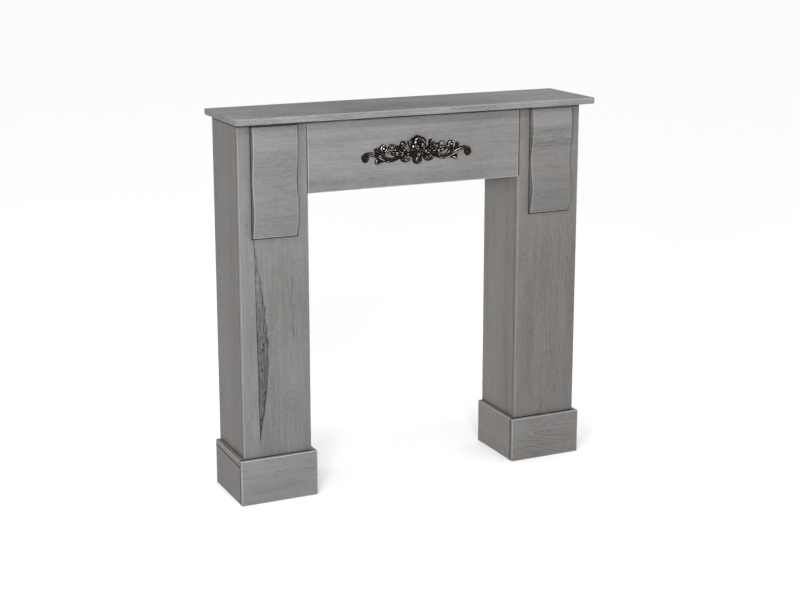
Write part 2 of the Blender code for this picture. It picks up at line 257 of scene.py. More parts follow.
def waved_arris(n, board, streaks):
    """The same round a waved front, which lies inside the board's box, and painted shade on its left side."""
    near = n.math("MINIMUM", *board.to_faces[:2])
    on_front = n.step(near, 0.1, 0.5)
    edge_sheen_and_wear = n.times(n.step(n.sum(near, n.times(streaks, 0.5)), *WAVED_ARRIS_FADE), on_front)
    facing_left = n.step(board.along, 1, -1)
    return edge_sheen_and_wear, n.times(n.less(on_front), facing_left, SIDE_SHADE_DARKNESS)


def seam_and_shade_lines(n, seams_and_shade):
    """1 on each joint and on each line of painted shade, (axis, place, dark to, clear from, None or (limit
    axis, low, high)).
    """
    joints_and_shade = 0
    for axis, place, dark_to, clear_from, limits in seams_and_shade:
        line = n.step(n.away(n.mm["xyz".index(axis)], place), clear_from, dark_to)
        if limits:
            limit, start, end = limits
            inside = n.mm["xyz".index(limit)]
            line = n.times(line, n.step(inside, start, start + 1), n.step(inside, end, end - 1))
        joints_and_shade = n.math("MAXIMUM", joints_and_shade, line)
    return joints_and_shade


def painted_contact_shade(n, block_name):
    """Painted shade on a board round the outline of a block that lies on it: a dark line and a wider, softer
    shade.
    """
    low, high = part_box(block_name)
    middle, half = (low + high) / 2 / MM, (high - low) / 2 / MM
    beside, below = (n.minus(n.away(n.mm[i], middle[i]), half[i]) for i in (0, 2))
    to_left = n.step(n.mm[0], middle.x + 1, middle.x - 1)
    edge = n.math("MAXIMUM", n.sum(beside, n.times(to_left, CONTACT_LEFT)), n.sum(below, CONTACT_UNDER))
    line = n.times(n.step(edge, *CONTACT_LINE_FADE), SEAM_AND_SHADE_DARKNESS)
    return n.sum(line, n.times(n.step(edge, *CONTACT_FADE), CONTACT_DARKNESS))


def wood(
    name, node_name, grain, face, seed, tone=1, warm=0.3, ring=13, heart=(60, 40), grey=WASH_GREY,
    brown=WASH_WARM, figure=1, contrast=1, sheen_and_wear=0.16, waved=False, seams_and_shade=(), contact=None, marks=(),
):
    """Washed wood: grain and face name the axes along the fibres and out of the board's face.

    heart is how far the log's heart lies from the board's middle, across the face and below it, and ring
    is the pitch of its growth rings. figure scales the rings, contrast the whole pattern and sheen_and_wear
    the paler edges, partly wash rubbed thin and partly painted highlight. contact names a block that lies
    on the board, round which shade is painted; marks are functions, described below.
    """
    n = Nodes(name)
    board = Board(n, node_name, grain, face, seed)
    late = late_wood(n, board, ring, heart)
    pattern = {
        key: board.noise(lengthwise, crosswise, detail=detail, roughness=roughness)
        for key, (lengthwise, crosswise, detail, roughness, _) in FIBRE_PATTERNS.items()
    }
    fibres, streaks = pattern["fibres"], pattern["streaks"]
    dashes = n.step(n.cells(board.stretched(*DASH_PITCH)), 0.26, 0.08)
    dashes = n.times(dashes, n.step(pattern["mottle"], -0.1, 0.35))
    pores = n.step(n.cells(board.stretched(*PORE_PITCH)), 0.20, 0.06)
    pores = n.times(pores, n.step(streaks, -0.2, 0.4))
    darkness = n.sum(
        *(n.times(pattern[key], settings[-1]) for key, settings in FIBRE_PATTERNS.items()),
        n.times(late, LATE_DARKNESS * figure),
        n.times(dashes, DASH_DARKNESS * figure),
        n.times(pores, PORE_DARKNESS),
    )
    darkness = n.times(darkness, contrast)
    height = n.sum(n.times(fibres, 0.5), n.times(streaks, 0.3), n.times(late, 0.25), n.times(pores, -1.2))

    if waved:
        edge_sheen_and_wear, side = waved_arris(n, board, streaks)
        darkness = n.sum(darkness, side)
    else:
        edge_sheen_and_wear = arris_wear_and_sheen(n, board, streaks)
    joints_and_shade = seam_and_shade_lines(n, seams_and_shade)
    paled = n.times(edge_sheen_and_wear, n.less(joints_and_shade), sheen_and_wear)
    darkness = n.sum(darkness, n.times(joints_and_shade, SEAM_AND_SHADE_DARKNESS), n.times(paled, -1))
    if contact:
        darkness = n.sum(darkness, painted_contact_shade(n, contact))
    for mark in marks:
        extra, cut = mark(n, n.mm)
        darkness = n.sum(darkness, extra)
        height = n.minus(height, cut)

    bands, clouds = pattern["bands"], pattern["clouds"]
    warmth = n.sum(warm, n.times(bands, 0.45), n.times(streaks, 0.30), n.times(clouds, 0.30))
    colour = n.mix(n.math("MAXIMUM", n.math("MINIMUM", warmth, 1), 0), grey, brown)
    roughness = n.sum(WASH_ROUGHNESS, n.times(fibres, 0.05), n.times(late, -0.05))
    n.shade("Base Color", n.scaled(colour, n.times(n.less(darkness), tone)))
    n.shade("Roughness", roughness)
    n.shade("Specular IOR Level", WASH_SPECULAR)
    n.bump(height, GRAIN_BUMP)
    return n.material


# --- Marks on single boards ---
# Each takes a node tree and the place in millimetres, and returns (darkness, depth of its hollow).

# The left leg's glue joint: where it would meet the floor, and how it leans. The lens swells beside it.
GLUE_JOINT_X = -434.5
GLUE_JOINT_LEAN = -0.0131
LENS_FOOT = 150
LENS_LENGTH = 560
LENS_WIDTH = 31
LENS_DARKEST = 0.66
# Pin holes in the lens, as (x, z), each twice as tall as it is wide.
LENS_HOLES = (
    (-424, 414), (-425, 401), (-416, 312), (-422, 265), (-420, 290), (-433, 218), (-431, 200), (-428, 350),
)


def heartwood_lens(n, mm):
    """The left leg's glue joint, and the lens of dark, open-pored heartwood beside it."""
    x, _, z = mm
    from_seam = n.minus(x, n.math("MULTIPLY_ADD", z, GLUE_JOINT_LEAN, GLUE_JOINT_X))
    up = n.math("DIVIDE", n.minus(z, LENS_FOOT), LENS_LENGTH, clamp=True)
    ragged = n.noise(n.join(n.times(x, 0.10), n.times(z, 0.030), 3), detail=4, roughness=0.65)
    swell = n.math("POWER", n.math("SINE", n.times(n.math("POWER", up, 0.86), math.pi)), 1.4)
    bulge = n.math("MULTIPLY_ADD", swell, LENS_WIDTH, n.times(ragged, 9, n.step(up, 0, 0.3)))
    past = n.minus(from_seam, bulge)
    inside = n.times(n.step(from_seam, -0.6, 0.6), n.step(past, 1.5, -3.5))
    depth = n.step(up, 0.90, 0.40)
    grain = n.noise(n.join(n.times(x, 0.30), n.times(z, 0.018), 9), detail=5, roughness=0.75)
    flecks = n.noise(n.join(n.times(x, 0.36), n.times(z, 0.10), 5), detail=3, roughness=0.8)
    rim = n.step(n.away(past, -2.5), 4, 1)
    holes = 0
    for hole_x, hole_z in LENS_HOLES:
        off_x, off_z = n.away(x, hole_x), n.times(n.away(z, hole_z), 0.5)
        reach = n.math("SQRT", n.sum(n.times(off_x, off_x), n.times(off_z, off_z)))
        holes = n.math("MAXIMUM", holes, n.step(reach, 2.3, 1.1))
    pale_side = n.times(n.step(from_seam, 0, -1), n.step(z, 690, 640))
    seam_line = n.times(n.step(from_seam, -0.4, 0.3), n.step(from_seam, 3.2, 1), n.step(z, 150, 260))
    body = n.times(inside, n.sum(n.times(depth, 0.34), 0.16, grain, n.times(flecks, 1.1)))
    shade = n.sum(
        n.math("MINIMUM", body, LENS_DARKEST),
        n.times(rim, inside, 0.26),
        n.times(holes, 0.70),
        n.times(seam_line, 0.42),
        n.times(pale_side, -0.09),
    )
    return n.math("MINIMUM", shade, 0.90), n.sum(n.times(seam_line, 1.5), n.times(holes, 2.5))


CHECK_X = -344
FLAMES_X, FLAMES_Z = -350, 190


def wavy_check(n, mm):
    """A thin dark line that wavers down the left leg, and faint flame lines that curl below it."""
    x, _, z = mm
    waver = n.noise(n.join(0, n.times(z, 0.022), 0))
    line = n.away(x, n.sum(CHECK_X, n.times(waver, 10)))
    ends = n.sum(0.55, n.times(n.step(z, 520, 570), 0.45), n.times(n.step(z, 470, 430), 0.45))
    line = n.times(n.step(line, 2.2, 0.5), n.step(z, 420, 436), n.step(z, 592, 570), ends)
    flame_x, flame_z = n.minus(x, FLAMES_X), n.minus(z, FLAMES_Z)
    arch = n.math("SQRT", n.sum(n.times(flame_x, flame_x, 7), n.times(flame_z, flame_z)))
    arch = n.sum(arch, n.times(n.noise(n.join(n.times(x, 0.03), n.times(z, 0.02), 4)), 9))
    flames = n.times(
        n.step(n.math("SINE", n.times(arch, 0.36)), 0.3, 1),
        n.step(arch, 125, 95),
        n.step(arch, 45, 70),
        n.step(z, 180, 225),
    )
    return n.sum(n.times(line, 0.48), n.times(flames, 0.09)), n.times(line, 0.6)


def leg_shade_below(n, mm):
    """The legs are a little paler near the top and darker below: painted light and shade, as from a lamp
    above.
    """
    return n.math("MULTIPLY_ADD", n.step(mm[2], 800, 560), 0.11, -0.07), 0


def right_leg_shade(n, mm):
    """The right leg is darker on its lower part and along its outer edge: painted shade."""
    x, _, z = mm
    return n.sum(n.times(n.step(z, 880, 480), 0.09), n.times(n.step(x, 370, 480), 0.04), -0.05), 0


def sides_darker_in_front(n, mm):
    """The legs' sides are darker towards the front, below the shelf's shade."""
    _, y, z = mm
    lower = n.step(z, 850, 700)
    return n.sum(n.times(n.step(y, 45, -15), lower, 0.11), n.times(lower, -0.02)), 0


def left_corbel_shade(n, mm):
    """The left corbel is darker towards its foot, and a little darker to its right: painted shade."""
    x, _, z = mm
    down = n.sum(n.times(n.step(z, 940, 890), 0.12), n.times(n.step(z, 860, 780), 0.04), -0.05)
    return n.sum(down, n.times(n.step(x, -400, -345), 0.03)), 0


def cross_bands(n, mm):
    """The right corbel's painted light and shade, palest at its top and darkest at its foot, with dark bands
    and lines of figure below the top.
    """
    x, _, z = mm
    waver = n.times(n.noise(n.join(n.times(x, 0.02), n.times(z, 0.02), 7)), 9)
    height = n.sum(z, waver)
    bands = n.math("SINE", n.times(height, 0.16))
    lines = n.noise(n.join(n.times(x, 0.02), n.times(height, 0.42), 11), detail=3, roughness=0.7)
    figured = n.times(n.step(z, 815, 860), n.step(z, 925, 905))
    # Painted shade at the foot, and painted light near the top.
    foot = n.times(n.step(z, 800, 735), 0.25)
    middle = n.times(n.step(z, 865, 840), -0.04)
    top = n.times(n.step(z, 890, 930), -0.30)
    figure = n.times(figured, n.sum(0.08, n.times(bands, 0.08), n.times(lines, 0.75)))
    return n.sum(foot, middle, top, figure), 0


def frieze_shade_and_tone(n, mm):
    """The frieze is darker along its lower edge, a painted shade, and a little paler at its right end."""
    x, _, z = mm
    lower = n.times(n.step(z, 850, 800), n.step(x, 330, 150), 0.20)
    return n.sum(lower, n.times(n.step(x, 180, 300), -0.06)), 0


def sloping_line_and_strip(n, mm):
    """A sloping dark line along the left plinth's outer board, with a paler strip above it."""
    above = n.minus(n.math("MULTIPLY_ADD", mm[1], -0.030, mm[2]), 102)
    line = n.step(n.away(above, 0), 3.6, 1.6)
    return n.sum(n.times(line, 0.90), n.times(n.step(above, 1.5, 3), -0.14)), line


KNOT_X, KNOT_Z = 345, 70


def knot_swirl(n, mm):
    """Flame lines that part round a small pale knot on the right plinth and fan out beyond it."""
    x, _, z = mm
    u, w = n.minus(x, KNOT_X), n.minus(z, KNOT_Z)
    reach = n.math("SQRT", n.sum(n.times(u, u), n.times(w, w, 3)))
    parted = n.times(n.math("DIVIDE", 420, n.sum(reach, 9)), n.math("SIGN", w), 0.35)
    spread = n.math("MULTIPLY_ADD", n.math("MAXIMUM", u, 0), 0.006, 1)
    fan = n.math("DIVIDE", n.math("MULTIPLY_ADD", u, 0.10, w), spread)
    waver = n.times(n.noise(n.join(n.times(u, 0.02), n.times(w, 0.05), 0)), 3)
    lines = n.math("SINE", n.math("MULTIPLY_ADD", n.sum(fan, parted), 0.85, waver))
    lines = n.times(n.step(lines, 0.35, 0.98), n.step(reach, 190, 30), n.step(u, -50, 0), 0.26)
    return n.sum(lines, n.times(n.step(reach, 12, 3), -0.24)), 0


def shelf_tone_and_light(n, mm):
    """The shelf's top is darker in its middle than at its ends. Its front is paler than its top, painted
    light, with a painted highlight along its upper edge.
    """
    x, y, z = mm
    low, high = (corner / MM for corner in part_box("shelf_board"))
    front = n.step(y, low.y + 3, low.y + 1)
    face = n.less(front)
    middle = n.times(n.step(n.away(x, -110), 430, 60), face, 0.19)
    left = n.times(n.step(x, 150, -200), 0.17)
    right = n.times(n.step(x, 150, 420), face, -0.13)
    near = n.times(n.step(y, 60, -100), 0.07)
    # Painted highlight along the front's upper edge.
    arris = n.times(n.step(z, high.z - 5, high.z - 2.5), front, -0.10)
    # The front is painted paler than the top, painted light, and darker to the left.
    return n.sum(middle, right, near, -0.03, n.times(front, n.sum(left, -0.21)), arris), 0


def plinth_ledge(n, mm):
    """Painted shade on the narrow ledge round a leg's foot, and a painted highlight along the edge in front
    of it.
    """
    low, high = (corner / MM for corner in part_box("left_plinth_front"))
    ledge = n.step(mm[2], high.z - 1.2, high.z - 0.4)
    inner = n.step(mm[1], low.y + 6, low.y + 9)
    edge = n.times(n.step(mm[2], high.z - 3.2, high.z - 1.6), n.less(ledge))
    return n.sum(n.times(ledge, inner, 0.22), n.times(edge, -0.35)), 0


def under_frieze_shade(n, mm):
    """Painted shade on the right leg's inner side just under the frieze, more of it away from the front."""
    below = n.minus(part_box("frieze_board")[0].z / MM, mm[2])
    inward = n.math("MULTIPLY_ADD", n.step(mm[1], -60, 40), 0.18, 0.06)
    return n.times(n.step(below, 72, 8), inward), 0


# --- Other finishes ---


# The onlay's middle in metres, and the name of the attribute that holds how far its surface stands out.
ONLAY_MIDDLE = Vector((0.0015, 0, 0.880))
RELIEF = "relief"
# The hollows' colour is painted shade; the rims' colour and the near-white are painted highlights.
LACQUER_HOLLOW_SHADE = (0.0008, 0.0006, 0.0006)
LACQUER_BROWN = (0.017, 0.0085, 0.0078)
LACQUER_RIM_SHEEN = (0.045, 0.027, 0.024)
LACQUER_HIGHLIGHT = (1, 0.97, 0.95)
ZINC_PALE = (0.66, 0.64, 0.58)
ZINC_DULL = (0.50, 0.49, 0.47)


def cast_brown():
    """Glossy dark brown lacquer, with painted shade that turns the hollows black and matt, and painted
    highlights: redder rims, and pale patches on top.
    """
    n = Nodes("cast_brown_lacquer")
    relief = n.add("Attribute", attribute_name=RELIEF).outputs["Fac"]
    mottle = n.noise(n.place, scale=260, detail=4, roughness=0.65)
    patches = n.noise(n.place, scale=45, detail=2)
    height = n.math("MULTIPLY_ADD", mottle, 0.35, relief)
    out = n.minus(LEG_FRONT / MM, n.mm[1])
    # Painted shade makes the low skirt and the hollows black; painted highlights make the rims redder and
    # upward-facing raised tops near-white, fewer of them out along the scroll.
    raised = n.step(out, 2.6, 4.6)
    filled = n.times(n.step(height, -0.8, 0.5), raised)
    edge_sheen_and_wear = n.times(n.step(height, 0.2, 1.1), raised)
    upward = n.step(n.axes(n.add("NewGeometry").outputs["Normal"])[2], -0.25, 0.30)
    toward_middle = n.step(n.away(n.mm[0], ONLAY_MIDDLE.x / MM), 150, 98)
    scattered = n.step(n.noise(n.place, scale=90, detail=1), -0.08, 0.08)
    sheen_and_wear = n.times(n.step(height, 0.55, 0.95), upward, toward_middle, scattered)
    base = n.mix(filled, LACQUER_HOLLOW_SHADE, LACQUER_BROWN)
    base = n.mix(sheen_and_wear, n.mix(edge_sheen_and_wear, base, LACQUER_RIM_SHEEN), LACQUER_HIGHLIGHT)
    roughness = n.sum(0.74, n.times(filled, -0.42), n.times(mottle, 0.06))
    n.shade("Base Color", n.scaled(base, n.math("MULTIPLY_ADD", patches, 0.35, 1)))
    n.shade("Roughness", roughness)
    n.shade("Specular IOR Level", 0.10)
    n.bump(n.noise(n.place, scale=900, detail=2), 0.00006)
    return n.material


def screw_steel():
    """Zinc-plated steel, a little dull and scratched."""
    n = Nodes("zinc_steel")
    cloud = n.noise(n.place, scale=420, detail=4)
    fine = n.noise(n.place, scale=2600, detail=2)
    dull = n.math("MULTIPLY_ADD", cloud, 0.5, 0.5)
    n.shade("Base Color", n.mix(dull, ZINC_PALE, ZINC_DULL))
    n.shade("Metallic", 1)
    n.shade("Roughness", n.math("MULTIPLY_ADD", cloud, 0.10, 0.36))
    n.bump(fine, 0.00002)
    return n.material


# --- Pieces ---


def set_material(obj, material):
    obj.data.materials.clear()
    obj.data.materials.append(material)


def piece(name, bm, material, node_name, smooth_angle=None):
    """Makes a bmesh into a shown piece that stands for a CAD node."""
    mesh = bpy.data.meshes.new(name)
    bm.to_mesh(mesh)
    bm.free()
    if smooth_angle is not None:
        mesh.shade_smooth()
        mesh.set_sharp_from_angle(angle=math.radians(smooth_angle))
    made = bpy.data.objects.new(name, mesh)
    mesh.materials.append(material)
    scene.collection.objects.link(made)
    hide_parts(node_name)
    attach(made, "root")
    return made


SHARP_DEGREES = 30


def ease(obj, width, segments):
    """Rounds the sharp edges and keeps the flat faces flat."""
    modifier = obj.modifiers.new("ease", "BEVEL")
    modifier.width = width
    modifier.segments = segments
    modifier.limit_method = "ANGLE"
    modifier.angle_limit = math.radians(SHARP_DEGREES)
    modifier.harden_normals = True


SHELF_CORNER = 0.011
SHELF_EASE = 0.0026


def make_shelf(material):
    """The top board, its front corners rounded in plan and all its edges eased."""
    low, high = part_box("shelf_board")
    bm = bmesh.new()
    bmesh.ops.create_cube(bm, size=1)
    bmesh.ops.scale(bm, vec=high - low, verts=bm.verts)
    bmesh.ops.translate(bm, vec=(low + high) / 2, verts=bm.verts)
    corners = [
        edge
        for edge in bm.edges
        if all(vert.co.y < 0 for vert in edge.verts)
        and abs(edge.verts[0].co.z - edge.verts[1].co.z) > SHELF_CORNER
    ]
    bmesh.ops.bevel(bm, geom=corners, offset=SHELF_CORNER, segments=12, profile=0.5, affect="EDGES")
    shelf = piece("shelf_top_board", bm, material, "shelf_board", SHARP_DEGREES)
    ease(shelf, SHELF_EASE, 5)


# Corbels: (height above the foot, thickness) where the wave turns, as in the CAD profile.
CORBEL_WAVE = ((-0.022, 0.006), (0.062, 0.0195), (0.140, 0.010), (0.224, 0.0195), (0.330, 0.011))
CORBEL_ROWS = 90
CORBEL_EASE = 0.0011


def corbel_thickness(height):
    """How far the front stands out at a height above the foot, eased from one turn to the next."""
    for (low, thick_low), (high, thick_high) in zip(CORBEL_WAVE, CORBEL_WAVE[1:]):
        if low <= height <= high:
            part = (1 - math.cos(math.pi * (height - low) / (high - low))) / 2
            return thick_low + part * (thick_high - thick_low)
    raise ValueError("height is outside the corbel's wave")


def make_corbel(label, material):
    """The waved block: its profile across the front, extruded over its width."""
    low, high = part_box(f"{label}_corbel")
    tall = high.z - low.z
    outline = [Vector((low.x, high.y, low.z))]
    for row in range(CORBEL_ROWS + 1):
        height = tall * row / CORBEL_ROWS
        outline.append(Vector((low.x, high.y - corbel_thickness(height), low.z + height)))
    outline.append(Vector((low.x, high.y, high.z)))
    bm = bmesh.new()
    side = bm.faces.new([bm.verts.new(point) for point in outline])
    moved = bmesh.ops.extrude_face_region(bm, geom=[side])["geom"]
    far_side = [item for item in moved if isinstance(item, bmesh.types.BMVert)]
    bmesh.ops.translate(bm, vec=(high.x - low.x, 0, 0), verts=far_side)
    bmesh.ops.recalc_face_normals(bm, faces=bm.faces)
    corbel = piece(f"{label}_corbel_block", bm, material, f"{label}_corbel", SHARP_DEGREES)
    ease(corbel, CORBEL_EASE, 3)


# --- Onlay ---
# Millimetres from the onlay's middle: u outward to a side, w up, and out from the frieze.

ONLAY_VOXEL = 0.00055
ONLAY_STAND_OFF = 0.3
# Each lump's side slopes down from a shoulder to a foot that is wider by the skirt.
ONLAY_SKIRT = 0.9
ONLAY_SHOULDER = 2.4
ONLAY_FOOT = 0.4
# The surface's average is taken over cells of this size, blurred this many times.
RELIEF_CELL = 0.8
RELIEF_BLURS = 14


def smooth_route(points, steps):
    """A Catmull-Rom curve through points of any number of values."""
    points = [Vector(point) for point in points]
    ends = [2 * points[0] - points[1], *points, 2 * points[-1] - points[-2]]
    route = []
    for a, b, c, d in zip(ends, ends[1:], ends[2:], ends[3:]):
        for step in range(steps):
            t = step / steps
            square, cube = 2 * a - 5 * b + 4 * c - d, 3 * b - a - 3 * c + d
            route.append(0.5 * (2 * b + (c - a) * t + square * t**2 + cube * t**3))
    return [*route, points[-1]]


def ring_route(u, w, radius, start, end, half, out, end_half=None, end_out=None, steps=9):
    """Route points round part of a circle, angles in degrees; the radius shrinks if it is a pair."""
    first, last = radius if isinstance(radius, tuple) else (radius, radius)
    end_half = half if end_half is None else end_half
    end_out = out if end_out is None else end_out
    points = []
    for step in range(steps + 1):
        t = step / steps
        angle = math.radians(start + (end - start) * t)
        reach = first + (last - first) * t
        place = (u + reach * math.cos(angle), w + reach * math.sin(angle))
        points.append((*place, half + (end_half - half) * t, out + (end_out - out) * t))
    return points


# Cross-sections: height at s from -1 to 1 across, and at t from 0 to 1 along.


def bead(s, t):
    return (1 - s * s) ** 0.4


def channel(s, t):
    """Two rims with a groove between."""
    return math.sqrt(1 - s**4) * (0.52 + 0.48 * math.sin(math.pi * s) ** 2)


def twin_channel(s, t):
    """Three ribs with two grooves between."""
    return math.sqrt(1 - s**4) * (0.58 + 0.42 * math.cos(1.5 * math.pi * s) ** 2)


def veined(s, t):
    """A leaf: a sunk midrib and side veins that run forward."""
    midrib = 0.34 * math.exp(-((s / 0.16) ** 2))
    veins = 0.13 * math.cos(math.tau * (5 * t - 0.9 * abs(s)))
    return math.sqrt(1 - s * s) * (0.95 - midrib + veins * min(1.0, 3 * abs(s)))


class Relief:
    """Collects the closed lumps of one side, or of the middle, of a cast relief."""

    def __init__(self, bm, side):
        self.bm = bm
        self.side = side

    def vert(self, u, w, out):
        place = Vector((self.side * u, -out, w)) * MM
        return self.bm.verts.new(Vector((ONLAY_MIDDLE.x, LEG_FRONT, ONLAY_MIDDLE.z)) + place)

    def lump(self, rows, closed):
        """A solid whose front is a grid of (u, w, out) points and whose back is flat."""
        front = [[self.vert(*point) for point in row] for row in rows]
        back = [[self.vert(u, w, 0.0) for u, w, out in row] for row in rows]
        count = len(rows[0])
        spans = [(i, (i + 1) % count) for i in range(count if closed else count - 1)]
        faces = self.bm.faces.new
        for layer in (front, back):
            for low, high in zip(layer, layer[1:]):
                for i, j in spans:
                    faces((low[i], low[j], high[j], high[i]))
        for i, j in spans:
            faces((front[-1][i], front[-1][j], back[-1][j], back[-1][i]))
            if not closed:
                faces((front[0][i], front[0][j], back[0][j], back[0][i]))
        if closed:
            faces(front[0])
            faces(back[0])
            return
        for low, high, under_low, under_high in zip(front, front[1:], back, back[1:]):
            for i in (0, -1):
                faces((low[i], high[i], under_high[i], under_low[i]))

    def strip(self, route, section, steps=5, across=18, lobes=0, cut=0.0):
        """A stem or leaf along (u, w, half width, out) points; lobes scallop a leaf's edges."""
        path = smooth_route(route, steps)
        rows = []
        for i, (u, w, half, out) in enumerate(path):
            ahead, behind = path[min(i + 1, len(path) - 1)], path[max(i - 1, 0)]
            along = Vector((ahead[0] - behind[0], ahead[1] - behind[1])).normalized()
            t = i / (len(path) - 1)
            half = max(half, 0.25) * (1 - cut * (1 - abs(math.sin(math.pi * lobes * t))))
            row = []
            for j in range(-1, across + 2):
                s = math.sin(math.pi * (min(max(j, 0), across) / across - 0.5))
                foot = j in (-1, across + 1)
                side = half * s + (math.copysign(ONLAY_SKIRT, s) if foot else 0.0)
                height = ONLAY_FOOT if foot else max(ONLAY_SHOULDER, ONLAY_FOOT + out * section(s, t))
                row.append((u - along.y * side, w + along.x * side, height))
            rows.append(row)
        self.lump(rows, closed=False)

    def dome(self, u, w, radius_u, radius_w, out, rib=0.0, pitch=5.0, lean=0.0, full=0.3):
        """A rounded lump; ribs of a pitch run across it at an angle."""
        rings, spokes = 14, 40
        rows = []
        for ring in range(rings + 2):
            r = math.sin(math.pi / 2 * (min(ring, rings) + 0.15) / (rings + 0.15))
            foot = ring > rings
            skirt = ONLAY_SKIRT if foot else 0.0
            row = []
            for spoke in range(spokes):
                angle = math.tau * spoke / spokes
                x = (radius_u * r + skirt) * math.cos(angle)
                y = (radius_w * r + skirt) * math.sin(angle)
                off = -x * math.sin(math.radians(lean)) + y * math.cos(math.radians(lean))
                ribs = 1 - rib * (0.5 - 0.5 * math.cos(math.tau * off / pitch))
                top = max(ONLAY_SHOULDER, ONLAY_FOOT + out * (1 - r * r) ** full * ribs)
                row.append((u + x, w + y, ONLAY_FOOT if foot else top))
            rows.append(row)
        self.lump(rows, closed=True)

    def rose(self, u, w, layers):
        """Overlapping rings of petals: each (radius, petals, turn, foot, rim) cups up to its rim."""
        rings, spokes = 90, 220
        outer = layers[0][0]
        rows = []
        for ring in range(rings + 1):
            r = outer * (ring + 0.3) / (rings + 0.3)
            row = []
            for spoke in range(spokes):
                angle = math.tau * spoke / spokes
                height, shrink = 0.6, 1.0
                for radius, petals, turn, foot, rim in layers:
                    part = petals * (angle - turn) / math.tau % 1.0
                    edge = radius * (0.86 + 0.14 * math.sin(math.pi * part) ** 0.6)
                    if radius == outer:
                        shrink = edge / outer
                    reach = r * shrink / edge
                    if reach <= 1.0:
                        tilt = 2.6 * (1 - part)
                        roll = 0.9 * max(0.0, (reach - 0.88) / 0.12) ** 2
                        height = foot + (rim - foot) * reach**2 - tilt * reach - roll
                row.append((u + r * shrink * math.cos(angle), w + r * shrink * math.sin(angle), height))
            rows.append(row)
        self.lump(rows, closed=True)


def model_onlay_side(relief):
    """Scroll, stems, crest and acanthus leaves of one side."""
    strip, dome = relief.strip, relief.dome
    # The long scroll: out of the stem at the foot, over, and round its ball.
    strip(
        [(43, -17, 1.8, 4), (57, -22, 2.6, 4.6), (73, -25.3, 3.6, 5.6), (87, -23, 4.4, 6.2),
         (99, -17.5, 5, 6.8), (110, -11.6, 5.2, 7.2), (122, -6.6, 5, 7.4), (135, -4.9, 4.6, 7.4),
         (145.5, -7.2, 4.2, 7.2), (150.2, -13.6, 3.8, 7), (148.6, -20, 3.2, 6.6),
         (143.4, -23.2, 2.5, 5.8), (138, -21, 1, 4.4)],
        channel,
    )
    dome(141.6, -14.8, 6.8, 6.8, 8.2)
    # The hook at its foot.
    hook = ring_route(110.5, -25.2, 5.2, 205, 425, 2.2, 5.8, 1.7, 4.8)
    strip([(90, -23, 3, 4.6), (98, -25.5, 2.8, 5), *hook], bead)
    strip([(100, -17, 2.6, 5), (106, -20, 3.6, 4.6), (112, -24.5, 3.6, 3.8), (118, -28, 1, 3)], veined)
    # The stem that drops from the crest, and the thin one under the long leaf.
    strip(
        [(101, 4, 4.6, 6.4), (99, -4, 6, 7), (94.3, -11, 6.2, 6.6), (87, -18, 5.2, 6), (76, -22.5, 3.2, 5)],
        twin_channel,
    )
    strip(
        [(92, -16, 2, 4.6), (80, -18.7, 1.7, 4.6), (66, -19, 1.7, 4.6), (54, -16.8, 1.9, 5),
         (43, -12, 2.6, 6)],
        bead,
    )
    # The crest: a volute with an eye, and a leaf of three fingers behind it.
    turn = ring_route(94.8, 6.8, (8.2, 7.6), -60, 215, 2.4, 7.8, 2, 6.8, steps=16)
    inner_turn = ring_route(93.8, 6.6, (6.4, 2), 250, 460, 1.7, 5.6, 1.2, 5.6, steps=10)
    strip(turn + inner_turn, bead, steps=3)
    dome(94.8, 6.2, 7.6, 7.6, 2.6)
    dome(96, 6.6, 3.2, 3.2, 7)
    strip([(99, -5, 4, 5), (106, -1, 5, 6.2), (113.5, 2.4, 4.4, 6), (120, 8.2, 1, 4.4)], veined)
    strip([(103, -3, 3, 5.4), (108.5, 2.8, 3, 6.4), (113.8, 11, 0.9, 4.6)], bead)
    strip([(101, -2, 3, 5.4), (104.5, 3.4, 2.4, 6), (107, 11.4, 0.8, 4.4)], bead)
    # The stem between the crest and the rose, with a small volute over it.
    strip(
        [(48, 1, 3, 6), (62, 3.6, 3.2, 6.4), (78, 3.6, 3.2, 6.4), (90, -0.5, 4.2, 6.8), (98, -4, 4, 6.6)],
        channel,
    )
    small_turn = ring_route(72.6, 8.6, (6.2, 5.4), 95, -150, 2.1, 7.2, 1.5, 5.6)
    strip(
        [(38, -6, 5, 7), (50, 0.5, 5.2, 8.2), (60, 7.5, 4.4, 8.4), (68, 13.4, 2.8, 7.6), *small_turn],
        channel,
    )
    dome(72.8, 8.2, 2.6, 2.6, 7.4)
    dome(72.6, 7.6, 5.8, 5.8, 3.6)
    dome(63.5, 1.8, 2.6, 2.4, 7.6)
    dome(79.5, 5.5, 2.6, 2.8, 6)
    # Acanthus: the long leaf, the one that curls up into a berry, and the fill between.
    strip(
        [(26, -8, 6, 7), (40, -9, 8.6, 8.6), (54, -8.6, 7.8, 8.2), (66, -7, 5.6, 7), (76, -5, 3.2, 5.6),
         (85, -3.2, 0.5, 3.4)],
        veined, steps=7, lobes=4, cut=0.16,
    )
    strip(
        [(20, -9, 5, 7), (30, -4, 7.4, 9), (38, 3, 7.8, 10), (42.5, 11, 7.2, 10), (40, 20.5, 3, 7.6)],
        veined, steps=6, lobes=3, cut=0.12,
    )
    dome(39.6, 15.6, 7.8, 7.4, 11, rib=0.22, pitch=5.2, lean=-40, full=0.22)
    strip([(30, -2, 4, 7), (43, 2, 4.6, 8), (52, 8, 3.4, 7), (56, 12.5, 0.8, 4)], veined)
    strip([(15, 6, 5, 7), (21, 14, 4.6, 8), (24.5, 19, 2.6, 7), (26.5, 23.5, 0.5, 4)], channel)
    # The fanned lobe below.
    dome(32.3, -20.6, 15, 11.2, 9, rib=0.4, pitch=5.2, lean=-45, full=0.4)
    dome(28.4, -10.6, 3.2, 3, 10.4)


